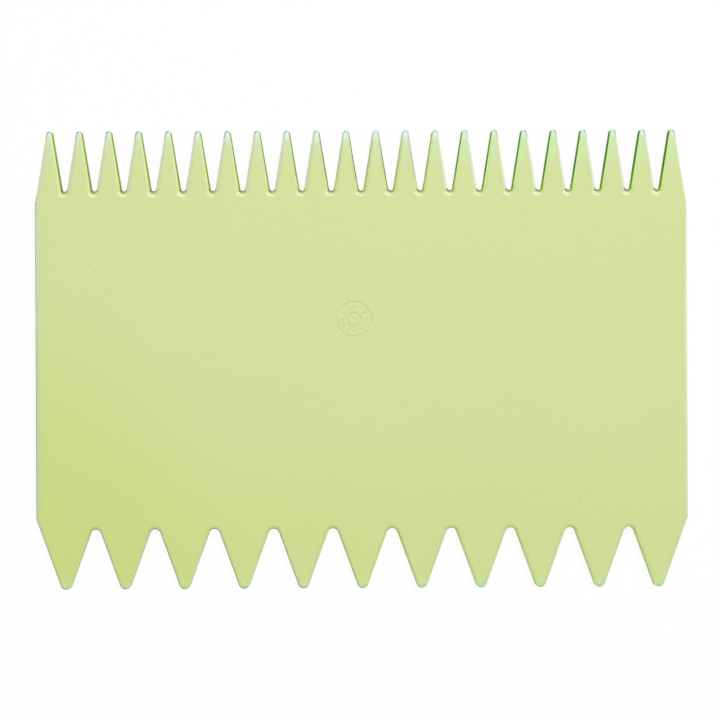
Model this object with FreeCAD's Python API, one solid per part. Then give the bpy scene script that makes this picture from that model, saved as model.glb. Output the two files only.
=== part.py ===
"""Dough scraper: one flat moulded plate with a fine comb edge and a coarse comb edge.

Lengths are in millimetres and angles in degrees. The plate lies on its back face at Z 0, with its front
face up. X runs along both combs, and Y runs from the coarse comb to the fine one. The origin is the middle
of the plate's outer box, on the back face.
"""
import FreeCAD, Part
import math
import os
from dataclasses import dataclass

plate_width = 110.0
plate_height = 77.3
plate_thickness = 2.0

fine_teeth = 22
fine_depth = 10.1
fine_tip_radius = 0.57
fine_root_radius = 0.42
fine_rim_at_tips = 0.38
fine_rim_at_roots = 0.80

coarse_teeth = 11
coarse_depth = 10.1
coarse_tip_radius = 1.00
coarse_root_radius = 0.92
coarse_rim_at_tips = 0.50
coarse_rim_at_roots = 0.55

# The mould parts at the back face, so every wall leans in towards the front face.
wall_draft = 2.0

# A quarter round softens the whole front rim, and grows along each flank from the tip to the root.
# It never takes more than this share of a tip, or of the plate's thickness.
most_rim = 0.80

# The rim is drawn through this many outlines, close enough for its faces to join without a gap.
rim_outlines = 21

UP = FreeCAD.Vector(0, 0, 1)


@dataclass(frozen=True)
class Comb:
    """A row of teeth along one end of the plate, described as if its teeth point along +Y.

    A flank is the straight line that touches the circle in a tip and the circle in the root beside it, so
    tips, flanks and roots run into each other smoothly at every height.
    """

    teeth: int
    depth: float
    tip_radius: float
    root_radius: float
    rim_at_tips: float
    rim_at_roots: float

    def pitch(self):
        return plate_width / self.teeth

    def tip_centre_y(self):
        return plate_height / 2 - self.tip_radius

    def root_centre_y(self):
        return plate_height / 2 - self.depth + self.root_radius

    def flank_lean(self, tip_rim=0.0, root_rim=0.0):
        """The angle in radians between a flank and the middle line of its tooth.

        The rim insets it from the wall by one amount at the tip and by another at the root.
        """
        across = self.pitch() / 2
        along = self.tip_centre_y() - self.root_centre_y()
        radii = self.tip_radius - tip_rim + self.root_radius + root_rim
        return math.atan2(across, along) - math.asin(radii / math.hypot(across, along))

    def shoulder_y(self):
        """Where the outer flank of an end tooth runs into the plate's straight side."""
        lean = self.flank_lean()
        reach = self.pitch() / 2 * math.cos(lean) - self.tip_radius
        return self.tip_centre_y() - reach / math.sin(lean)

    def levels(self):
        """The places of each outline: at the back, then from the top of the wall round to the front face.

        Each is a pair of places, one at the tips and one at the roots, and a place is an inset and a height.
        """
        back = (0.0, 0.0)
        tip_room = self.tip_radius - wall_inset(plate_thickness)
        at_tips = rim_section(min(self.rim_at_tips, most_rim * tip_room))
        at_roots = rim_section(min(self.rim_at_roots, most_rim * plate_thickness))
        return [(back, back)] + list(zip(at_tips, at_roots))


def wall_inset(height):
    """How far a wall has leaned in at a height."""
    return height * math.tan(math.radians(wall_draft))


def rim_section(radius):
    """Inset and height of points along one quarter round, from the top of the wall to the front face."""
    draft = math.radians(wall_draft)
    centre_height = plate_thickness - radius
    centre_inset = wall_inset(centre_height) + radius / math.cos(draft)
    section = []
    for step in range(rim_outlines):
        angle = draft + (math.pi / 2 - draft) * step / (rim_outlines - 1)
        section.append((centre_inset - radius * math.cos(angle), centre_height + radius * math.sin(angle)))
    return section


def arc_points(centre, radius, start, end):
    """The first, middle and last point of an arc that runs from one angle to another."""
    angles = (start, (start + end) / 2, end)
    return [centre + FreeCAD.Vector(radius * math.cos(a), radius * math.sin(a), 0) for a in angles]


def round_stretches(comb, tip_place, root_place):
    """The arcs over the tips and round the roots, in order along +X, at one level."""
    tip_inset, tip_height = tip_place
    root_inset, root_height = root_place
    lean = comb.flank_lean(tip_inset - wall_inset(tip_height), root_inset - wall_inset(root_height))
    leans = [comb.flank_lean()] + [lean] * (comb.teeth - 1) + [comb.flank_lean()]
    half_turn = math.pi
    arcs = []
    for tooth in range(comb.teeth):
        tip_x = comb.pitch() * (tooth + 0.5) - plate_width / 2
        tip = FreeCAD.Vector(tip_x, comb.tip_centre_y(), tip_height)
        arcs.append(arc_points(tip, comb.tip_radius - tip_inset, half_turn - leans[tooth], leans[tooth + 1]))
        root = FreeCAD.Vector(tip_x + comb.pitch() / 2, comb.root_centre_y(), root_height)
        arcs.append(arc_points(root, comb.root_radius + root_inset, half_turn + lean, 2 * half_turn - lean))
    return arcs[:-1]


def comb_edges(comb, level):
    """The edges of one comb at one level, from the shoulder at its -X end to the other shoulder."""
    tip_place, root_place = level
    inset, height = tip_place
    corner_x = plate_width / 2 - inset
    corner_y = comb.shoulder_y() - inset * math.tan(comb.flank_lean() / 2)
    here = FreeCAD.Vector(-corner_x, corner_y, height)
    edges = []
    for start, middle, end in round_stretches(comb, tip_place, root_place):
        edges.append(Part.LineSegment(here, start).toShape())
        edges.append(Part.Arc(start, middle, end).toShape())
        here = end
    edges.append(Part.LineSegment(here, FreeCAD.Vector(corner_x, corner_y, height)).toShape())
    return edges


def outline(fine, coarse, fine_level, coarse_level):
    """The edges round the whole plate at one level, in order."""
    fine_edges = comb_edges(fine, fine_level)
    coarse_edges = comb_edges(coarse, coarse_level)
    for edge in coarse_edges:
        edge.rotate(FreeCAD.Vector(), UP, 180)
    plus_x_side = Part.LineSegment(fine_edges[-1].lastVertex().Point, coarse_edges[0].firstVertex().Point)
    minus_x_side = Part.LineSegment(coarse_edges[-1].lastVertex().Point, fine_edges[0].firstVertex().Point)
    return fine_edges + [plus_x_side.toShape()] + coarse_edges + [minus_x_side.toShape()]


def wall_face(low, high):
    """The drafted wall along one stretch of the outline, between its edge at the back and its edge at the rim."""
    if isinstance(low.Curve, Part.Line):
        low_ends = [vertex.Point for vertex in (low.firstVertex(), low.lastVertex())]
        high_ends = [vertex.Point for vertex in (high.lastVertex(), high.firstVertex())]
        return Part.Face(Part.makePolygon(low_ends + high_ends + low_ends[:1]))
    return Part.makeRuledSurface(low, high)


def rim_face(edges):
    """The quarter round along one stretch of the outline, from its edges at each level of the rim."""
    return Part.makeLoft([Part.Wire(edge) for edge in edges], False, False).Faces[0]


def comb_plate():
    """The plate with both combs: two flat faces, drafted walls and a rounded front rim, sewn together."""
    fine = Comb(fine_teeth, fine_depth, fine_tip_radius, fine_root_radius, fine_rim_at_tips, fine_rim_at_roots)
    coarse = Comb(
        coarse_teeth,
        coarse_depth,
        coarse_tip_radius,
        coarse_root_radius,
        coarse_rim_at_tips,
        coarse_rim_at_roots,
    )
    outlines = [outline(fine, coarse, *levels) for levels in zip(fine.levels(), coarse.levels())]
    faces = [Part.Face(Part.Wire(outlines[0])), Part.Face(Part.Wire(outlines[-1]))]
    for back_edge, *rim_edges in zip(*outlines):
        faces.append(wall_face(back_edge, rim_edges[0]))
        faces.append(rim_face(rim_edges))
    skin = Part.makeCompound(faces)
    skin.sewShape()
    return Part.makeSolid(skin.Shells[0])


os.makedirs("parts", exist_ok=True)
scraper = comb_plate()
scraper.exportStep("parts/comb_plate.step")
print(f"comb_plate: valid {scraper.isValid()}, {len(scraper.Faces)} faces, {scraper.Volume / 1000:.2f} cm3")
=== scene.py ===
"""Lime comb scraper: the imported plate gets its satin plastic, its mould mark and a white studio.

Lengths are metres. The plate lies flat with its marked face up, and +Y points to the fine teeth.
"""

import logging
import math
from collections.abc import Mapping, Sequence
from dataclasses import dataclass
from enum import Enum
from typing import Protocol, TypeAlias

import bmesh
import bpy
from mathutils import Matrix, Vector


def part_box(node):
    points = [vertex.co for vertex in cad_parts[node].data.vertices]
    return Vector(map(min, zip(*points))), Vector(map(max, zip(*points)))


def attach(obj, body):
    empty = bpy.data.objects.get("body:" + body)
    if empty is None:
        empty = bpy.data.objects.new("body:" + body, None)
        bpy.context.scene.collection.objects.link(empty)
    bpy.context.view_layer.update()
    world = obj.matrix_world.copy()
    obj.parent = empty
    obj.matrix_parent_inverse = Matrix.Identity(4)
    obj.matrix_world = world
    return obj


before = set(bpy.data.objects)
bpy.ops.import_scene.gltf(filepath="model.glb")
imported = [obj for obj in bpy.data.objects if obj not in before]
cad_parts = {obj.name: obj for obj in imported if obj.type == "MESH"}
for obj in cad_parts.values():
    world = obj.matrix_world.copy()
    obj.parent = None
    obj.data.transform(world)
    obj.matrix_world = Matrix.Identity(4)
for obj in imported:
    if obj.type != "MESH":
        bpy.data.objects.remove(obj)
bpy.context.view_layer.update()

log = logging.getLogger("dough_scraper")

MM = 0.001
PLATE_NODE = "comb_plate"
PLATE_BODY = "root"
PLATE_FRONT_MM = 2.0

# The fine roots stand this far apart, and the plastic's edges change their look along X round this
# middle and over this distance to each side of it.
ROOT_PITCH_MM = 5.0
MIDDLE_MM = 2.5
TURN_MM = 30.0

# How far a surface looks along X where it counts in full as looking that way.
SIDEWAYS = 0.2

# The photograph's square side and its scale on the plate's front face.
PHOTO_SIDE_PX = 720
PHOTO_SCALE = 0.16855 * MM

Colour: TypeAlias = tuple[float, float, float]
Feed: TypeAlias = "Wire | float | Sequence[float]"

# A pair belongs to X and Y, or to two sides. A span is the value at which something starts to change
# and the value at which the change is complete.
Pair: TypeAlias = tuple[float, float]
Span: TypeAlias = tuple[float, float]


class Wire:
    """A value that runs between shader nodes, where a number can be used in Python sums."""

    def __init__(self, board: "Board", socket: bpy.types.NodeSocket) -> None:
        """Wrap an output socket.

        Args:
            board: The board that the socket's node stands on.
            socket: The output socket.
        """
        self.board = board
        self.socket = socket

    def _math(self, operation: str, *values: "Feed") -> "Wire":
        """Add one Math node.

        Args:
            operation: The Math node's operation.
            values: Its inputs in order.

        Returns:
            The result.
        """
        inputs = dict(enumerate(values))
        return self.board.wire("ShaderNodeMath", {"operation": operation}, inputs)

    def __add__(self, other: "Feed") -> "Wire":
        """Give self + other."""
        return self._math("ADD", self, other)

    def __radd__(self, other: "Feed") -> "Wire":
        """Give other + self."""
        return self._math("ADD", other, self)

    def __sub__(self, other: "Feed") -> "Wire":
        """Give self - other."""
        return self._math("SUBTRACT", self, other)

    def __rsub__(self, other: "Feed") -> "Wire":
        """Give other - self."""
        return self._math("SUBTRACT", other, self)

    def __mul__(self, other: "Feed") -> "Wire":
        """Give self * other."""
        return self._math("MULTIPLY", self, other)

    def __rmul__(self, other: "Feed") -> "Wire":
        """Give other * self."""
        return self._math("MULTIPLY", other, self)

    def __truediv__(self, other: "Feed") -> "Wire":
        """Give self / other."""
        return self._math("DIVIDE", self, other)

    def __rtruediv__(self, other: "Feed") -> "Wire":
        """Give other / self."""
        return self._math("DIVIDE", other, self)

    def __pow__(self, other: "Feed") -> "Wire":
        """Give self to the power of other."""
        return self._math("POWER", self, other)

    def __rpow__(self, other: "Feed") -> "Wire":
        """Give other to the power of self."""
        return self._math("POWER", other, self)

    def __neg__(self) -> "Wire":
        """Give self with the other sign."""
        return self._math("MULTIPLY", self, -1.0)

    def __abs__(self) -> "Wire":
        """Give the size of self without its sign."""
        return self._math("ABSOLUTE", self)

    def greater(self, other: "Feed") -> "Wire":
        """Give the greater of self and other."""
        return self._math("MAXIMUM", self, other)

    def wrap(self, low: float, high: float) -> "Wire":
        """Carry self round into the range from low to high."""
        return self._math("WRAP", self, high, low)

    def between(self, low: float, high: float) -> "Wire":
        """Ease from 0 at low to 1 at high.

        Args:
            low: The value that gives 0.
            high: The value that gives 1.

        Returns:
            The eased mask.
        """
        settings = {"interpolation_type": "SMOOTHSTEP"}
        inputs = {"Value": self, "From Min": low, "From Max": high}
        return self.board.wire("ShaderNodeMapRange", settings, inputs)


class Board:
    """The node tree of one material or of the world."""

    # The Mix node's sockets where it mixes colours.
    MIX_FACTOR = 0
    MIX_COLOURS = (6, 7)
    MIX_RESULT = 2

    def __init__(self, tree: bpy.types.NodeTree) -> None:
        """Clear a node tree and work on it.

        Args:
            tree: The node tree.
        """
        self.tree = tree
        tree.nodes.clear()

    def node(
        self,
        kind: str,
        settings: Mapping[str, object] | None = None,
        inputs: Mapping[str | int, object] | None = None,
    ) -> bpy.types.Node:
        """Add one node.

        Args:
            kind: The node's type.
            settings: Its settings, which are set first.
            inputs: A value or a link for each socket, by the socket's name or number.

        Returns:
            The node.
        """
        made = self.tree.nodes.new(kind)
        for name, value in (settings or {}).items():
            setattr(made, name, value)
        for name, value in (inputs or {}).items():
            socket = made.inputs[name]
            if isinstance(value, Wire):
                self.tree.links.new(value.socket, socket)
            elif isinstance(value, bpy.types.NodeSocket):
                self.tree.links.new(value, socket)
            elif socket.type == "RGBA":
                socket.default_value = (*value, 1.0)
            else:
                socket.default_value = value
        return made

    def wire(
        self,
        kind: str,
        settings: Mapping[str, object] | None = None,
        inputs: Mapping[str | int, object] | None = None,
        output: str | int = 0,
    ) -> Wire:
        """Add one node and take one of its outputs.

        Args:
            kind: The node's type.
            settings: Its settings, which are set first.
            inputs: A value or a link for each socket.
            output: The output's name or number.

        Returns:
            The output.
        """
        return Wire(self, self.node(kind, settings, inputs).outputs[output])

    def scaled(self, vector: Wire, factor: "Feed") -> Wire:
        """Give a vector or colour times one number."""
        inputs = {0: vector, "Scale": factor}
        return self.wire("ShaderNodeVectorMath", {"operation": "SCALE"}, inputs)

    def axes(self, vector: Wire) -> tuple[Wire, Wire, Wire]:
        """Split a vector into its X, Y and Z.

        Args:
            vector: The vector.

        Returns:
            The three numbers.
        """
        split = self.node("ShaderNodeSeparateXYZ", None, {0: vector})
        x, y, z = (Wire(self, output) for output in split.outputs)
        return x, y, z

    def mix(self, factor: "Feed", first: "Feed", second: "Feed", blend: str = "MIX") -> Wire:
        """Mix two colours.

        Args:
            factor: 0 gives the first colour and 1 the second.
            first: The first colour.
            second: The second colour.
            blend: The way in which they mix.

        Returns:
            The colour.
        """
        settings = {"data_type": "RGBA", "blend_type": blend}
        low, high = self.MIX_COLOURS
        inputs = {self.MIX_FACTOR: factor, low: first, high: second}
        return self.wire("ShaderNodeMix", settings, inputs, self.MIX_RESULT)


@dataclass(frozen=True)
class Spot:
    """What the plastic's shader knows of the spot that it colours.

    Attributes:
        board: The material's board.
        place: The place in millimetres.
        x: Its X.
        y: Its Y.
        to_right: How far the surface looks to +X.
        to_far: How far the surface looks to +Y.
        flatness: 1 where the surface is level, less on the rim and 0 on a wall.
        at_right: 0 at the plate's -X end and 1 at its +X end.
        side: -1 at the plate's -X end, 0 round the middle and 1 at its +X end.
        inward: 1 where the surface looks towards the plate's middle along X, -1 where it looks
            outwards and 0 round the middle.
    """

    board: Board
    place: Wire
    x: Wire
    y: Wire
    to_right: Wire
    to_far: Wire
    flatness: Wire
    at_right: Wire
    side: Wire
    inward: Wire

    @classmethod
    def on(cls, board: Board) -> "Spot":
        """Read the spot from the geometry.

        Args:
            board: The material's board.

        Returns:
            The spot.
        """
        place = board.scaled(board.wire("ShaderNodeTexCoord", output="Object"), 1.0 / MM)
        x, y, _ = board.axes(place)
        to_right, to_far, up = board.axes(board.wire("ShaderNodeNewGeometry", output="Normal"))
        at_right = x.between(MIDDLE_MM - TURN_MM, MIDDLE_MM + TURN_MM)
        side = at_right * 2.0 - 1.0
        return cls(board, place, x, y, to_right, to_far, abs(up), at_right, side, -(to_right * side))

    def from_root(self) -> Wire:
        """Give the distance along X from the nearest root of the fine comb."""
        return self.x.wrap(-ROOT_PITCH_MM / 2.0, ROOT_PITCH_MM / 2.0)

    def from_tooth(self) -> Wire:
        """Give the distance along X from the middle of the nearest fine tooth."""
        return self.x.wrap(0.0, ROOT_PITCH_MM) - ROOT_PITCH_MM / 2.0

    def off(self, x_mm: float, y_mm: float) -> Wire:
        """Give the distance from a point of the front face."""
        inputs = {0: self.place, 1: (x_mm, y_mm, PLATE_FRONT_MM)}
        return self.board.wire("ShaderNodeVectorMath", {"operation": "DISTANCE"}, inputs, "Value")

    def looks_right(self) -> Wire:
        """Give 0 where the surface looks to -X and 1 where it looks to +X."""
        return self.to_right.between(-SIDEWAYS, SIDEWAYS)

    def ends(self, left: Colour, right: Colour) -> Wire:
        """Turn one colour at the plate's -X end into another at its +X end."""
        return self.board.mix(self.at_right, left, right)


@dataclass(frozen=True)
class Unevenness:
    """Smooth random swells over the plastic.

    Attributes:
        per_mm: How many swells fit into a millimetre.
        detail: How many finer layers they have.
        gain: How far they reach.
        rough: How strong the finer layers are.
    """

    per_mm: float
    detail: float
    gain: float
    rough: float = 0.5

    def swell(self, spot: Spot) -> Wire:
        """Give the swell, round 0.

        Args:
            spot: The spot.

        Returns:
            The swell.
        """
        inputs = {"Vector": spot.place, "Scale": self.per_mm, "Detail": self.detail}
        inputs["Roughness"] = self.rough
        return (spot.board.wire("ShaderNodeTexNoise", None, inputs, "Fac") - 0.5) * self.gain


@dataclass(frozen=True)
class Speck:
    """A dark fleck that is set into the plastic.

    Attributes:
        x_mm: Its place along X.
        y_mm: Its place along Y.
        radius_mm: How far it reaches.
        depth: Share of the colour that it takes away in its middle.
    """

    x_mm: float
    y_mm: float
    radius_mm: float = 0.34
    depth: float = 0.12

    def loss(self, spot: Spot) -> Wire:
        """Give the share of the colour that it takes away."""
        return (1.0 - spot.off(self.x_mm, self.y_mm).between(0.0, self.radius_mm)) * self.depth


class Layer(Protocol):
    """What lies over part of the plastic's own colour."""

    def over(self, spot: Spot, tint: Wire) -> Wire:
        """Lay it over a colour.

        Args:
            spot: The spot.
            tint: The colour below.

        Returns:
            The colour with the layer on it.
        """


@dataclass(frozen=True)
class MintTeethLight:
    """Painted light through the outer part of the fine teeth, which makes them look greener.

    Attributes:
        left: Its colour on the -X teeth.
        right: Its colour on the +X teeth.
        band_mm: Y over which it grows.
        lift_mm: How much nearer to the roots it starts at the plate's +X end.
        side_mm: Place across a tooth over which it weakens outwards.
        loss: Share of it that is gone on the outer side.
    """

    left: Colour = (0.545, 0.675, 0.395)
    right: Colour = (0.515, 0.705, 0.325)
    band_mm: Span = (32.5, 38.2)
    lift_mm: float = 1.5
    side_mm: Span = (-0.8, 0.8)
    loss: float = 0.45

    def over(self, spot: Spot, tint: Wire) -> Wire:
        """Lay the mint over a colour.

        Args:
            spot: The spot.
            tint: The colour below.

        Returns:
            The colour.
        """
        reach = spot.y + spot.at_right * self.lift_mm
        outer = (spot.from_tooth() * spot.side).between(*self.side_mm)
        share = reach.between(*self.band_mm) * (1.0 - outer * self.loss)
        return spot.board.mix(share, tint, spot.ends(self.left, self.right))


@dataclass(frozen=True)
class TipHighlight:
    """A painted highlight on the fine tips, which makes them look pale.

    Attributes:
        colour: Their colour.
        band_mm: Y over which the painted highlight grows.
        lift_mm: How much nearer to the roots it starts round middle_mm.
        middle_mm: X round which it starts nearest to the roots.
        ends_mm: Distance from there over which that lift fades.
    """

    colour: Colour = (0.590, 0.765, 0.690)
    band_mm: Span = (36.9, 38.2)
    lift_mm: float = 0.5
    middle_mm: float = -8.0
    ends_mm: Span = (14.0, 34.0)

    def over(self, spot: Spot, tint: Wire) -> Wire:
        """Lay the painted highlight over a colour.

        Args:
            spot: The spot.
            tint: The colour below.

        Returns:
            The colour.
        """
        off_middle = abs(spot.x - self.middle_mm)
        lift = (1.0 - off_middle.between(*self.ends_mm)) * self.lift_mm
        return spot.board.mix((spot.y + lift).between(*self.band_mm), tint, self.colour)


@dataclass(frozen=True)
class CoarseTipShade:
    """Painted shade on the coarse tips, which look away from the lamps and so look darker and greener.

    Attributes:
        colour: Their colour.
        band_mm: Y over which it fades.
        lift_mm: How much nearer to the roots it starts at the plate's +X end.
    """

    colour: Colour = (0.500, 0.670, 0.290)
    band_mm: Span = (-38.4, -36.8)
    lift_mm: float = 0.8

    def over(self, spot: Spot, tint: Wire) -> Wire:
        """Lay the painted shade over a colour."""
        reach = spot.y - spot.at_right * self.lift_mm
        return spot.board.mix(reach.between(*self.band_mm), self.colour, tint)


@dataclass(frozen=True)
class PaintedRimLight:
    """Painted light on the rounded rim: brighter colour where it looks inwards, a pale painted sheen where
    it looks outwards.

    Attributes:
        left: The colour at the plate's -X end.
        right: The colour at its +X end.
        way: 1 for the rim that looks inwards and -1 for the rim that looks outwards.
        sides: Share of the colour on the plate's sides.
        coarse: Share of it on the coarse comb.
        band_mm: Distance along Y over which a comb's share of it grows.
        lean: Flatness over which it fades.
        turn: How far the rim looks its way, over which it grows.
    """

    left: Colour
    right: Colour
    way: float
    sides: float
    coarse: float = 0.5
    band_mm: Span = (28.0, 31.0)
    lean: Span = (0.85, 1.0)
    turn: Span = (0.05, 0.45)

    def over(self, spot: Spot, tint: Wire) -> Wire:
        """Lay the rim's painted light over a colour.

        Args:
            spot: The spot.
            tint: The colour below.

        Returns:
            The colour.
        """
        start, full = self.band_mm
        fine = spot.y.between(start, full)
        coarse = 1.0 - spot.y.between(-full, -start)
        share = fine + coarse * self.coarse + (1.0 - fine - coarse) * self.sides
        share = share * (1.0 - spot.flatness.between(*self.lean))
        share = share * (spot.inward * self.way).between(*self.turn)
        return spot.board.mix(share, tint, spot.ends(self.left, self.right))


@dataclass(frozen=True)
class SideCoolShade:
    """Painted cool shade on the strip along the -X side and up the outer flank of the fine tooth on it.

    Attributes:
        tint: What the colour is multiplied by there.
        x_mm: X of that side.
        knee_mm: Distance along Y at which the side turns into the end teeth.
        slope: How far the fine end tooth's flank leans in for each millimetre of Y.
        start_mm: Distance along Y over which the tint grows from the coarse end's knee on.
        end_mm: Y over which it fades on the fine tooth.
        reach_mm: Distance from the side at which it has gone.
    """

    tint: Colour = (0.87, 0.98, 1.15)
    x_mm: float = -55.0
    knee_mm: float = 28.3
    slope: float = 0.2
    start_mm: float = 2.0
    end_mm: Span = (34.0, 37.0)
    reach_mm: float = 1.9

    def over(self, spot: Spot, tint: Wire) -> Wire:
        """Multiply a colour by the tint.

        Args:
            spot: The spot.
            tint: The colour below.

        Returns:
            The colour.
        """
        flank = (spot.y - self.knee_mm).greater(0.0) * self.slope
        strip = 1.0 - (spot.x - self.x_mm - flank).between(0.0, self.reach_mm)
        started = spot.y.between(-self.knee_mm, self.start_mm - self.knee_mm)
        share = strip * started * (1.0 - spot.y.between(*self.end_mm))
        return spot.board.mix(share, tint, self.tint, "MULTIPLY")


@dataclass(frozen=True)
class RootHighlights:
    """Painted highlights in crescents beside the fine roots, on their -X side.

    Attributes:
        colour: Their colour.
        centre_y_mm: Y of the roots' centres.
        radius_mm: Distance of a crescent's crest from there.
        width_mm: Distance from the crest at which it has gone.
        way: Direction in which a crescent lies from there.
        turn: How well a spot's direction fits that way, over which a crescent grows.
        ends_mm: Distance along X from the middle over which they end, beyond the last root.
        strength: Share of the colour on the crest.
    """

    colour: Colour = (0.740, 0.780, 0.600)
    centre_y_mm: float = 28.97
    radius_mm: float = 1.32
    width_mm: float = 0.34
    way: Pair = (-0.32, -0.95)
    turn: Span = (0.78, 0.97)
    ends_mm: Span = (51.0, 52.0)
    strength: float = 0.85

    def over(self, spot: Spot, tint: Wire) -> Wire:
        """Lay the crescents over a colour.

        Args:
            spot: The spot.
            tint: The colour below.

        Returns:
            The colour.
        """
        along = spot.from_root()
        up = spot.y - self.centre_y_mm
        off = (along * along + up * up) ** 0.5
        ring = 1.0 - abs(off - self.radius_mm).between(0.0, self.width_mm)
        turned = ((along * self.way[0] + up * self.way[1]) / off).between(*self.turn)
        inside = 1.0 - abs(spot.x).between(*self.ends_mm)
        return spot.board.mix(ring * turned * inside * self.strength, tint, self.colour)


@dataclass(frozen=True)
class FaceColours:
    """Colours of the broad faces and of their rounded rim.

    Attributes:
        pale: Colour of most of the front face.
        deep: Colour towards the coarse comb's -X corner, where the plastic looks more yellow. The change
            from it to the pale colour is partly the plastic's own tone and partly painted light.
        corner_mm: The place that the deep colour spreads from.
        squeeze: How much closer its contours lie along X and along Y.
        reach_mm: Distance from there over which the deep colour fades.
        coarse_share: How much of the deep colour the coarse comb has at its -X end and at its +X end.
        coarse_band_mm: Y over which that share fades.
        layers: What lies over these colours, from below.
        painted_rim_light: How much brighter the rim is painted as it leans, as painted light.
        painted_rim_light_fine: How much more it does so on the fine comb.
        painted_rim_light_lit: How much more again where it looks to +X there, as a painted highlight.
        fine_band_mm: Y over which the fine comb's share of the glow grows.
        right_loss: Share of the brightness that is gone at the +X end.
        clouds: Broad changes of the brightness.
        mottle: Fine changes of the brightness.
        specks: Dark flecks in the plastic.
    """

    pale: Colour = (0.561, 0.627, 0.247)
    deep: Colour = (0.522, 0.615, 0.170)
    corner_mm: Pair = (-58.0, -45.0)
    squeeze: Pair = (1.25, 0.90)
    reach_mm: Span = (22.0, 54.0)
    coarse_share: Pair = (0.55, 0.22)
    coarse_band_mm: Span = (-30.0, -10.0)
    layers: tuple[Layer, ...] = (
        MintTeethLight(),
        TipHighlight(),
        CoarseTipShade(),
        # Painted light on the inward rim and a painted pale sheen on the outward rim.
        PaintedRimLight((0.620, 0.705, 0.350), (0.500, 0.840, 0.310), way=1.0, sides=0.0),
        PaintedRimLight((0.620, 0.620, 0.480), (0.570, 0.650, 0.430), way=-1.0, sides=1.0),
        SideCoolShade(),
        RootHighlights(),
    )
    painted_rim_light: float = 0.5
    painted_rim_light_fine: float = 0.4
    painted_rim_light_lit: float = 0.8
    fine_band_mm: Span = (-10.0, 10.0)
    right_loss: float = 0.012
    clouds: Unevenness = Unevenness(0.035, 2.0, 0.03)
    mottle: Unevenness = Unevenness(1.4, 3.0, 0.02)
    specks: tuple[Speck, ...] = (
        Speck(-45.0, 15.1),
        Speck(37.9, -22.4),
        Speck(36.8, -23.7),
        Speck(27.1, 25.0),
        Speck(27.2, 22.1),
    )

    def blend(self, spot: Spot) -> Wire:
        """Give the colour with its layers and its brightness.

        Args:
            spot: The spot.

        Returns:
            The colour.
        """
        # The change from deep to pale is partly the plastic's own tone and partly painted light.
        tint = spot.board.mix(self._paleness(spot), self.deep, self.pale)
        for layer in self.layers:
            tint = layer.over(spot, tint)
        return spot.board.scaled(tint, self._brightness(spot))

    def _paleness(self, spot: Spot) -> Wire:
        """Give the share of the pale colour.

        Args:
            spot: The spot.

        Returns:
            0 in the coarse comb's -X corner and 1 far from it.
        """
        from_side = (spot.x - self.corner_mm[0]) * self.squeeze[0]
        from_end = (spot.y - self.corner_mm[1]) * self.squeeze[1]
        off_corner = (from_side * from_side + from_end * from_end) ** 0.5
        left, right = self.coarse_share
        coarse = 1.0 - spot.y.between(*self.coarse_band_mm)
        deepened = coarse * (left + spot.at_right * (right - left))
        return off_corner.between(*self.reach_mm) * (1.0 - deepened)

    def _brightness(self, spot: Spot) -> Wire:
        """Give the gain of the rim's painted light, the clouds, the mottling and the specks.

        Args:
            spot: The spot.

        Returns:
            The gain, round 1 on the face.
        """
        gain = 1.0 + self.clouds.swell(spot) + self.mottle.swell(spot) - spot.at_right * self.right_loss
        for speck in self.specks:
            gain = gain - speck.loss(spot)
        # Painted light on the leaning rim, more on the fine comb and most where it looks to +X.
        lit = self.painted_rim_light_fine + spot.to_right.between(0.0, 1.0) * self.painted_rim_light_lit
        return gain + (1.0 - spot.flatness) * (self.painted_rim_light + spot.y.between(*self.fine_band_mm) * lit)


@dataclass(frozen=True)
class EdgeLine:
    """A thin painted line of shade and light between the wall and the rim on the sides and on the coarse
    comb.

    Attributes:
        shade: Colours where it looks to -X or along Y, at the plate's -X end and at its +X end.
        lit: Colour where it looks to +X, towards the lamps.
        turn: How far it looks to +X, over which the lit colour grows.
    """

    shade: tuple[Colour, Colour] = ((0.21, 0.21, 0.11), (0.60, 0.73, 0.34))
    lit: Colour = (0.66, 0.76, 0.38)
    turn: Span = (-0.2, 0.8)

    def blend(self, spot: Spot) -> Wire:
        """Give the line's colour."""
        return spot.board.mix(spot.to_right.between(*self.turn), spot.ends(*self.shade), self.lit)


@dataclass(frozen=True)
class SlotLine:
    """Painted shade and sheen in a thin line above the walls of the fine teeth, where it doesn't look
    inwards.

    Attributes:
        grey: Colour where it looks outwards at the -X end.
        pale: Colour where it looks outwards at the +X end.
        olive: Colour round the middle where it looks to -X.
        umber: Colour round the middle where it looks to +X.
        turn: How far it looks inwards, over which the outward colours fade.
        drop: How much further it reaches over the rim round the middle, as a drop in flatness, where
            it looks to -X and where it looks to +X.
        middle: How far it looks inwards or outwards, over which that drop fades.
        start_mm: Y over which that drop grows.
    """

    grey: Colour = (0.88, 0.88, 0.76)
    pale: Colour = (0.95, 0.95, 0.84)
    olive: Colour = (0.52, 0.56, 0.34)
    umber: Colour = (0.20, 0.24, 0.07)
    turn: Span = (-0.45, -0.10)
    drop: Pair = (0.08, 0.12)
    middle: Span = (0.30, 0.80)
    start_mm: Span = (30.0, 31.0)

    def blend(self, spot: Spot) -> Wire:
        """Give the line's colour.

        Args:
            spot: The spot.

        Returns:
            The colour.
        """
        outer = spot.board.mix(spot.looks_right(), self.grey, self.pale)
        middle = spot.board.mix(spot.looks_right(), self.olive, self.umber)
        return spot.board.mix(spot.inward.between(*self.turn), outer, middle)

    def reach(self, spot: Spot) -> Wire:
        """Give how far the line reaches over the rim.

        Args:
            spot: The spot.

        Returns:
            The drop in flatness.
        """
        middle = (1.0 - abs(spot.inward).between(*self.middle)) * spot.y.between(*self.start_mm)
        left, right = self.drop
        return middle * (left + spot.looks_right() * (right - left))


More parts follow.
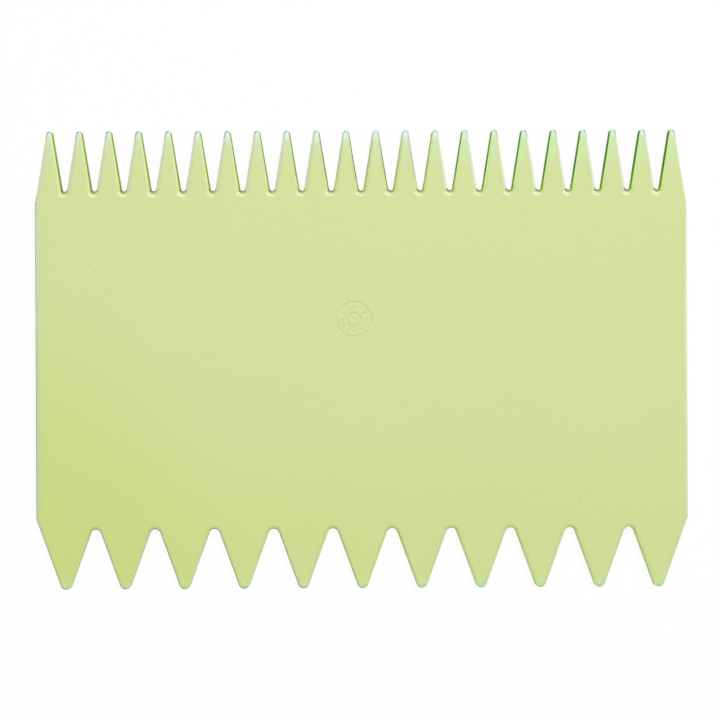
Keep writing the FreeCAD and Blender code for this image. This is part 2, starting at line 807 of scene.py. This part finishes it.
@dataclass(frozen=True)
class RootLine:
    """The dark line of painted shade above the walls of the fine roots.

    Attributes:
        olive: Its colour at the hollow's +X side.
        dark: Its colour at the hollow's -X side.
        turn: How far the surface looks to +X, over which olive turns into dark.
        start_mm: Y over which the line grows.
        end_mm: Y over which it fades.
        lean: How far the surface looks to +Y, over which the line grows.
        drop: How much further it reaches over the rim, as a drop in flatness.
    """

    olive: Colour = (0.42, 0.46, 0.11)
    dark: Colour = (0.25, 0.26, 0.12)
    turn: Span = (-0.5, 0.5)
    start_mm: Span = (27.0, 27.3)
    end_mm: Span = (29.5, 30.0)
    lean: Span = (0.15, 0.45)
    drop: float = 0.25

    def over(self, spot: Spot, tint: Wire) -> Wire:
        """Lay the line over a colour."""
        root = spot.board.mix(spot.to_right.between(*self.turn), self.olive, self.dark)
        return spot.board.mix(self._share(spot), tint, root)

    def reach(self, spot: Spot) -> Wire:
        """Give how far the line reaches over the rim, as a drop in flatness."""
        return self._share(spot) * self.drop

    def _share(self, spot: Spot) -> Wire:
        """Give 1 in a root's hollow and 0 off it."""
        band = spot.y.between(*self.start_mm) * (1.0 - spot.y.between(*self.end_mm))
        return band * spot.to_far.between(*self.lean)


@dataclass(frozen=True)
class WallColours:
    """Colours of the thin walls round the outline and of the painted lines of shade and light where
    they turn into the rim.

    Attributes:
        plain: Colour of the walls.
        tip_highlight: Colour of the walls of the fine tips under their painted highlight.
        highlight_band_mm: Y over which that painted highlight grows.
        slot_lime: Colour between the fine teeth where the walls look inwards at the -X end, and near
            the roots: the walls' deeper own colour, lighter as painted light.
        slot_green: Colour there where they look inwards at the +X end: the deeper colour, darker as painted
            shade.
        lime_band_mm: Y over which the lime of the roots fades.
        slot_band_mm: Y over which the fine teeth's own wall colours grow.
        slot_lean: How far a fine tooth's wall looks along X, over which they grow.
        wall_turn: How far such a wall looks inwards, over which its lime or green grows.
        line_turn: The same for the line above the wall.
        line_gain: Share of that colour's brightness that the line has, as painted shade.
        line_start: Flatness over which a wall turns into its line.
        edge_line: The line on the sides and on the coarse comb.
        slot_line: The line between the fine teeth.
        root_line: The line in the fine roots.
    """

    plain: Colour = (0.62, 0.75, 0.29)
    tip_highlight: Colour = (0.62, 0.75, 0.46)
    highlight_band_mm: Span = (36.8, 38.1)
    slot_lime: Colour = (0.34, 0.53, 0.03)
    slot_green: Colour = (0.13, 0.27, 0.02)
    lime_band_mm: Span = (29.0, 33.0)
    slot_band_mm: Span = (27.0, 28.0)
    slot_lean: Span = (0.40, 0.90)
    wall_turn: Span = (0.10, 0.95)
    line_turn: Span = (0.25, 0.60)
    line_gain: float = 0.7
    line_start: Span = (0.05, 0.30)
    edge_line: EdgeLine = EdgeLine()
    slot_line: SlotLine = SlotLine()
    root_line: RootLine = RootLine()

    def blend(self, spot: Spot) -> Wire:
        """Give the colour of the walls and of the lines above them.

        Args:
            spot: The spot.

        Returns:
            The colour.
        """
        board = spot.board
        in_slot = spot.y.between(*self.slot_band_mm) * abs(spot.to_right).between(*self.slot_lean)
        greenness = spot.at_right * spot.y.between(*self.lime_band_mm)
        # Painted light on the lime walls that look to +X and painted shade on the green walls that look to
        # -X, over the walls' deeper own colour.
        inner = board.mix(greenness, self.slot_lime, self.slot_green)
        # The walls of the fine tips take a painted highlight.
        wall = board.mix(spot.y.between(*self.highlight_band_mm), self.plain, self.tip_highlight)
        wall = board.mix(in_slot * spot.inward.between(*self.wall_turn), wall, inner)
        # Painted lines of shade and light where the walls turn into the rim.
        line = board.mix(in_slot, self.edge_line.blend(spot), self.slot_line.blend(spot))
        inner = board.scaled(inner, self.line_gain)
        line = board.mix(in_slot * spot.inward.between(*self.line_turn), line, inner)
        line = self.root_line.over(spot, line)
        return board.mix(spot.flatness.between(*self.line_start), wall, line)

    def reach(self, spot: Spot) -> Wire:
        """Give how far the lines reach over the rim, as a drop in flatness."""
        return self.root_line.reach(spot) + self.slot_line.reach(spot)


@dataclass(frozen=True)
class TipCornerShade:
    """Painted grey shade on the outward corners of the fine tips.

    Attributes:
        colour: Their colour.
        start_mm: Y over which they grow.
        corner: Slant of the corner over which the painted shade grows.
        lean: Flatness over which it grows above the wall.
        strength: Share of the colour where it is full.
    """

    colour: Colour = (0.300, 0.300, 0.290)
    start_mm: Span = (37.0, 37.6)
    corner: Span = (0.02, 0.10)
    lean: Span = (0.05, 0.30)
    strength: float = 0.8

    def over(self, spot: Spot, tint: Wire) -> Wire:
        """Lay the painted shade over a colour.

        Args:
            spot: The spot.
            tint: The colour below.

        Returns:
            The colour.
        """
        slant = -(spot.inward * spot.to_far) * spot.flatness.between(*self.lean)
        share = slant.between(*self.corner) * spot.y.between(*self.start_mm) * self.strength
        return spot.board.mix(share, tint, self.colour)


@dataclass(frozen=True)
class EjectorRing:
    """The faint ring that one of the mould's ejector pins has left.

    Attributes:
        place_mm: Its centre.
        radius_mm: Its radius.
        width_mm: Distance from its line at which the line has gone.
        depth_mm: Depth of the line.
    """

    place_mm: Pair = (25.6, -4.6)
    radius_mm: float = 4.0
    width_mm: float = 0.5
    depth_mm: float = 0.003

    def depth(self, spot: Spot) -> Wire:
        """Give its depth at the spot, in millimetres."""
        off_line = abs(spot.off(*self.place_mm) - self.radius_mm)
        return (1.0 - off_line.between(0.0, self.width_mm)) * self.depth_mm


@dataclass(frozen=True)
class LimePlastic:
    """Satin moulded plastic, lime green and slightly see-through.

    Attributes:
        name: The material's name.
        face: Colours of the broad faces and their rim.
        walls: Colours of the thin walls and of the lines above them.
        tip_corner_shade: The painted shade on the outward corners of the fine tips.
        steep: Flatness over which the wall's look turns into the skin's.
        wall_roughness: Roughness of the walls.
        wall_gloss: Specular level of the walls.
        roughness: Roughness of the satin face.
        rim_roughness: Roughness of the rounded rim, which is smoother.
        rim_start: Flatness over which the rim's roughness turns into the face's.
        satin: Unevenness of the roughness.
        refraction: Index of refraction.
        grain: The moulded grain, as a height in millimetres.
        ring: The ejector ring.
    """

    name: str = "lime_plastic"
    face: FaceColours = FaceColours()
    walls: WallColours = WallColours()
    tip_corner_shade: TipCornerShade = TipCornerShade()
    steep: Span = (0.50, 0.80)
    wall_roughness: float = 0.9
    wall_gloss: float = 0.1
    roughness: float = 0.38
    rim_roughness: float = 0.22
    rim_start: Span = (0.95, 1.0)
    satin: Unevenness = Unevenness(0.6, 4.0, 0.08)
    refraction: float = 1.49
    grain: Unevenness = Unevenness(2.2, 4.0, 0.0012, 0.6)
    ring: EjectorRing = EjectorRing()

    def material(self) -> bpy.types.Material:
        """Make the plastic.

        Returns:
            The material.
        """
        made = bpy.data.materials.new(self.name)
        made.use_nodes = True
        board = Board(made.node_tree)
        board.node("ShaderNodeOutputMaterial", None, {"Surface": self._surface(Spot.on(board))})
        return made

    def _surface(self, spot: Spot) -> Wire:
        """Give the shader of the whole surface.

        Args:
            spot: The spot.

        Returns:
            The skin on the faces and their rim, and the walls with their lines below it.
        """
        inputs = {
            "Base Color": self.tip_corner_shade.over(spot, self.walls.blend(spot)),
            "Roughness": self.wall_roughness,
            "Specular IOR Level": self.wall_gloss,
        }
        wall = spot.board.wire("ShaderNodeBsdfPrincipled", None, inputs)
        steepness = 1.0 - (spot.flatness - self.walls.reach(spot)).between(*self.steep)
        return spot.board.wire("ShaderNodeMixShader", None, {0: steepness, 1: self._skin(spot), 2: wall})

    def _skin(self, spot: Spot) -> Wire:
        """Give the shader of the faces and their rim.

        Args:
            spot: The spot.

        Returns:
            The shader.
        """
        inputs = {
            "Base Color": self.tip_corner_shade.over(spot, self._tint(spot)),
            "Roughness": self._roughness(spot),
            "Normal": self._relief(spot),
            "IOR": self.refraction,
        }
        return spot.board.wire("ShaderNodeBsdfPrincipled", None, inputs)

    def _tint(self, spot: Spot) -> Wire:
        """Give the colour of the faces and their rim."""
        return self.face.blend(spot)

    def _roughness(self, spot: Spot) -> Wire:
        """Give the satin's roughness, which falls on the rim."""
        rise = spot.flatness.between(*self.rim_start) * (self.roughness - self.rim_roughness)
        return self.rim_roughness + rise + self.satin.swell(spot)

    def _relief(self, spot: Spot) -> Wire:
        """Give the moulded grain and the ejector ring as relief."""
        height = self.grain.swell(spot) - self.ring.depth(spot)
        return spot.board.wire("ShaderNodeBump", None, {"Strength": 1.0, "Distance": MM, "Height": height})


@dataclass(frozen=True)
class MarkPlastic(LimePlastic):
    """The same plastic on fine raised lines, with a painted highlight on one side and painted shade on the
    other.

    Attributes:
        name: The material's name.
        pale: Colour of the sides that look to way, as a painted highlight.
        deep: Colour of the sides that look the other way, as painted shade.
        way: Direction that the pale sides look to.
        lean: Lean of a side over which its colour grows.
    """

    name: str = "mark_plastic"
    pale: Colour = (0.86, 0.90, 0.68)
    deep: Colour = (0.46, 0.53, 0.18)
    way: Pair = (-0.5, -0.87)
    lean: Span = (0.08, 0.45)

    def _surface(self, spot: Spot) -> Wire:
        """Give the skin alone, as the lines have no walls."""
        return self._skin(spot)

    def _tint(self, spot: Spot) -> Wire:
        """Give the face's colour with a painted highlight and painted shade on the sides.

        Args:
            spot: The spot.

        Returns:
            The colour.
        """
        along = spot.to_right * self.way[0] + spot.to_far * self.way[1]
        tint = spot.board.mix(along.between(*self.lean), super()._tint(spot), self.pale)
        return spot.board.mix((-along).between(*self.lean), tint, self.deep)


@dataclass(frozen=True)
class WhiteCard:
    """Matt white card under the plate, which shows white and keeps a soft shadow.

    Attributes:
        colour: Colour of the card.
        lifted: Share of what the camera sees that is plain white.
    """

    colour: Colour = (0.92, 0.92, 0.92)
    lifted: float = 0.90

    def material(self) -> bpy.types.Material:
        """Make the card.

        Returns:
            The material.
        """
        made = bpy.data.materials.new("white_card")
        made.use_nodes = True
        board = Board(made.node_tree)
        lit = board.wire("ShaderNodeBsdfDiffuse", None, {"Color": self.colour})
        white = board.wire("ShaderNodeEmission", None, {"Strength": 1.0})
        share = seen_straight(board) * self.lifted
        shown = board.wire("ShaderNodeMixShader", None, {0: share, 1: lit, 2: white})
        board.node("ShaderNodeOutputMaterial", None, {"Surface": shown})
        return made


def seen_straight(board: Board) -> Wire:
    """Mark the rays of the camera, of gloss and of see-through surfaces.

    Args:
        board: The board to work on.

    Returns:
        1 on such a ray and 0 on others.
    """
    path = board.node("ShaderNodeLightPath")
    names = ("Is Camera Ray", "Is Glossy Ray", "Is Transmission Ray")
    camera, gloss, through = (Wire(board, path.outputs[name]) for name in names)
    return camera.greater(gloss).greater(through)


class RibForm(Enum):
    """The forms that a raised line of the mould mark takes."""

    RING = "ring"
    TICK = "tick"
    PIP = "pip"


@dataclass(frozen=True)
class Rib:
    """One raised line of the mould mark.

    Attributes:
        form: Its form.
        radius_mm: Distance of a ring's crown or a tick's middle from the mark's centre, and a pip's radius.
        length_mm: Length of a tick.
        turn_degrees: Direction of a tick from the centre.
    """

    form: RibForm
    radius_mm: float
    length_mm: float = 0.0
    turn_degrees: float = 0.0


@dataclass
class CombPlate:
    """The moulded plate itself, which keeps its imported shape.

    Attributes:
        plastic: Its finish.
    """

    plastic: LimePlastic = LimePlastic()

    def build(self) -> bpy.types.Object:
        """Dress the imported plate.

        Returns:
            The plate.
        """
        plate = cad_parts[PLATE_NODE]
        plate.data.materials.clear()
        plate.data.materials.append(self.plastic.material())
        return plate


@dataclass
class MouldMark:
    """A plain mould dial in fine raised lines: two rings, twelve ticks and a centre pip.

    Attributes:
        plastic: Its finish.
        place_mm: Its centre on the front face.
        line_width_mm: Width of a raised line.
        line_height_mm: How far a line stands proud.
        sunk_mm: How far a line's foot reaches into the plate.
        ribs: Its raised lines.
        steps_across: Number of faces across a line.
        steps_round: Number of faces round a ring.
        steps_oval: Number of faces round a tick or the pip.
    """

    plastic: LimePlastic = MarkPlastic()
    place_mm: Pair = (-1.3, 6.7)
    line_width_mm: float = 0.42
    line_height_mm: float = 0.12
    sunk_mm: float = 0.03
    ribs: tuple[Rib, ...] = (
        Rib(RibForm.RING, 2.9),
        Rib(RibForm.RING, 1.1),
        *(Rib(RibForm.TICK, 2.0, 0.7, 30.0 * hour) for hour in range(12)),
        Rib(RibForm.PIP, 0.4),
    )
    steps_across: int = 8
    steps_round: int = 144
    steps_oval: int = 20

    def build(self) -> bpy.types.Object:
        """Build the mark on the plate's front face.

        Returns:
            The mark.
        """
        mesh = bpy.data.meshes.new("mould_mark")
        work = bmesh.new()
        half = self.line_width_mm / 2.0
        for rib in self.ribs:
            if rib.form is RibForm.RING:
                self._ring(work, rib.radius_mm)
            elif rib.form is RibForm.TICK:
                self._dome(work, math.radians(rib.turn_degrees), rib.radius_mm, rib.length_mm / 2.0, half)
            else:
                self._dome(work, 0.0, 0.0, rib.radius_mm, rib.radius_mm)
        bmesh.ops.recalc_face_normals(work, faces=work.faces)
        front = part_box(PLATE_NODE)[1].z
        shift = Vector((self.place_mm[0] * MM, self.place_mm[1] * MM, front))
        bmesh.ops.transform(work, matrix=Matrix.Translation(shift), verts=work.verts)
        work.to_mesh(mesh)
        work.free()
        for face in mesh.polygons:
            face.use_smooth = True
        mark = bpy.data.objects.new("mould_mark", mesh)
        bpy.context.scene.collection.objects.link(mark)
        mark.data.materials.append(self.plastic.material())
        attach(mark, PLATE_BODY)
        return mark

    def _crown(self, share: float) -> float:
        """Give a line's height above the face.

        Args:
            share: Place across the line, from -1 to 1.

        Returns:
            The height in metres.
        """
        rise = math.cos(share * math.pi / 2.0)
        return (rise * (self.line_height_mm + self.sunk_mm) - self.sunk_mm) * MM

    def _ring(self, work: bmesh.types.BMesh, crown_mm: float) -> None:
        """Add one ring.

        Args:
            work: The mesh being built.
            crown_mm: Radius of its crown.
        """
        half = self.line_width_mm / 2.0
        rows = []
        for turn in range(self.steps_round):
            angle = 2.0 * math.pi * turn / self.steps_round
            row = []
            for step in range(self.steps_across + 1):
                share = 2.0 * step / self.steps_across - 1.0
                radius = (crown_mm + share * half) * MM
                point = (radius * math.cos(angle), radius * math.sin(angle), self._crown(share))
                row.append(work.verts.new(point))
            rows.append(row)
        for turn, row in enumerate(rows):
            beside = rows[(turn + 1) % len(rows)]
            for step in range(self.steps_across):
                work.faces.new((row[step], beside[step], beside[step + 1], row[step + 1]))
            work.faces.new((row[-1], beside[-1], beside[0], row[0]))

    def _dome(
        self, work: bmesh.types.BMesh, angle: float, middle: float, along: float, across: float
    ) -> None:
        """Add one low dome with an oval foot.

        Args:
            work: The mesh being built.
            angle: Direction of its long axis.
            middle: Distance of its middle from the centre, in millimetres.
            along: Half its length in millimetres.
            across: Half its width in millimetres.
        """
        turn = Matrix.Rotation(angle, 3, "Z")
        crown = work.verts.new(turn @ Vector((middle * MM, 0.0, self._crown(0.0))))
        rings = []
        for level in range(1, self.steps_across // 2 + 1):
            share = level / (self.steps_across // 2)
            ring = []
            for step in range(self.steps_oval):
                phase = 2.0 * math.pi * step / self.steps_oval
                x = middle + share * along * math.cos(phase)
                y = share * across * math.sin(phase)
                ring.append(work.verts.new(turn @ Vector((x * MM, y * MM, self._crown(share)))))
            rings.append(ring)
        for step in range(self.steps_oval):
            after = (step + 1) % self.steps_oval
            work.faces.new((crown, rings[0][step], rings[0][after]))
            for inner, outer in zip(rings, rings[1:]):
                work.faces.new((inner[step], outer[step], outer[after], inner[after]))
        work.faces.new(tuple(reversed(rings[-1])))


@dataclass(frozen=True)
class SoftBox:
    """A square studio lamp that looks at the middle of the plate.

    Attributes:
        name: Its name.
        lean_x: Angle from straight above towards +X, in degrees.
        lean_y: Angle from straight above towards +Y, in degrees.
        distance: Distance from the plate.
        width: Its width.
        height: Its height.
        strength: Its power over pi for each square metre of its face.
        colour: Its colour.
    """

    name: str
    lean_x: float
    lean_y: float
    distance: float
    width: float
    height: float
    strength: float
    colour: Colour = (1.0, 1.0, 1.0)

    def build(self) -> bpy.types.Object:
        """Hang the lamp.

        Returns:
            The lamp.
        """
        lamp = bpy.data.lights.new(self.name, "AREA")
        lamp.shape = "RECTANGLE"
        lamp.size = self.width
        lamp.size_y = self.height
        lamp.color = self.colour
        lamp.energy = math.pi * self.width * self.height * self.strength
        made = bpy.data.objects.new(self.name, lamp)
        across, along = math.radians(self.lean_x), math.radians(self.lean_y)
        way = Vector((math.tan(across), math.tan(along), 1.0)).normalized()
        made.location = way * self.distance
        made.rotation_euler = way.to_track_quat("Z", "Y").to_euler()
        bpy.context.scene.collection.objects.link(made)
        return made


@dataclass
class Studio:
    """White card, soft lamps and the room's even light.

    Attributes:
        card: Finish of the card.
        card_side: Side of the card.
        card_drop_mm: Gap between the plate's back face and the card.
        room_light: How bright the room is round the plate.
        lamps: The soft lamps.
    """

    card: WhiteCard = WhiteCard()
    card_side: float = 6.0
    card_drop_mm: float = 0.02
    room_light: float = 0.44
    lamps: tuple[SoftBox, ...] = (
        SoftBox("overhead_box", 0.0, 10.0, 0.90, 0.60, 0.60, 3.0),
        SoftBox("window_box", 20.0, 33.0, 0.80, 0.22, 0.20, 11.0, (0.90, 0.96, 1.0)),
        SoftBox("side_strip", 42.0, 0.0, 0.80, 0.10, 0.50, 6.0),
        SoftBox("fill_box", -50.0, -10.0, 0.80, 0.60, 0.60, 0.6),
    )

    def build(self) -> None:
        """Set up the card, the lamps and the room."""
        self._lay_card()
        for lamp in self.lamps:
            lamp.build()
        self._light_room()
        bpy.context.scene.view_settings.view_transform = "Standard"

    def _lay_card(self) -> None:
        """Lay the card under the plate."""
        half = self.card_side / 2.0
        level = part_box(PLATE_NODE)[0].z - self.card_drop_mm * MM
        corners = [(-half, -half, level), (half, -half, level), (half, half, level), (-half, half, level)]
        mesh = bpy.data.meshes.new("card")
        mesh.from_pydata(corners, [], [(0, 1, 2, 3)])
        card = bpy.data.objects.new("card", mesh)
        bpy.context.scene.collection.objects.link(card)
        card.data.materials.append(self.card.material())

    def _light_room(self) -> None:
        """Give the world an even light that the camera sees as white."""
        world = bpy.data.worlds.new("room")
        world.use_nodes = True
        bpy.context.scene.world = world
        board = Board(world.node_tree)
        strength = self.room_light + seen_straight(board) * (1.0 - self.room_light)
        light = board.wire("ShaderNodeBackground", None, {"Strength": strength})
        board.node("ShaderNodeOutputWorld", None, {"Surface": light})


@dataclass
class PhotoCamera:
    """The camera that looked straight down at the plate.

    Attributes:
        height: Distance from the front face.
        sensor: Width of the sensor in millimetres.
        centre_px: Where the plate's centre falls in the photograph.
        roll_degrees: How far the plate looks turned to the left.
        lean_degrees: How far the camera stands towards -X from straight above the plate's middle.
    """

    height: float = 0.440
    sensor: float = 36.0
    centre_px: Pair = (361.9, 359.4)
    roll_degrees: float = 0.27
    lean_degrees: float = 0.6

    def build(self) -> bpy.types.Object:
        """Place the camera.

        Returns:
            The camera.
        """
        lens = bpy.data.cameras.new("photo_camera")
        lens.sensor_width = self.sensor
        lens.lens = self.height * self.sensor / (PHOTO_SIDE_PX * PHOTO_SCALE)
        made = bpy.data.objects.new("photo_camera", lens)
        middle = PHOTO_SIDE_PX / 2.0
        right = (middle - self.centre_px[0]) * PHOTO_SCALE
        up = (self.centre_px[1] - middle) * PHOTO_SCALE
        lean = math.radians(self.lean_degrees)
        way = Vector((-math.sin(lean), 0.0, math.cos(lean)))
        made.location = Vector((right, up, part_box(PLATE_NODE)[1].z)) + way * self.height
        made.rotation_euler = (0.0, -lean, -math.radians(self.roll_degrees))
        bpy.context.scene.collection.objects.link(made)
        bpy.context.scene.camera = made
        return made


def report(piece: bpy.types.Object) -> None:
    """Tell what a piece measures.

    Args:
        piece: The piece.
    """
    sizes = " x ".join(f"{side / MM:.2f}" for side in piece.dimensions)
    log.info("%s: %s mm, %d faces", piece.name, sizes, len(piece.data.polygons))


def main() -> None:
    """Dress the plate, add its mark and set up the studio and the camera."""
    logging.basicConfig(level=logging.INFO, format="%(name)s: %(message)s")
    PhotoCamera().build()
    Studio().build()
    for part in (CombPlate(), MouldMark()):
        report(part.build())


if __name__ == "__main__":
    main()
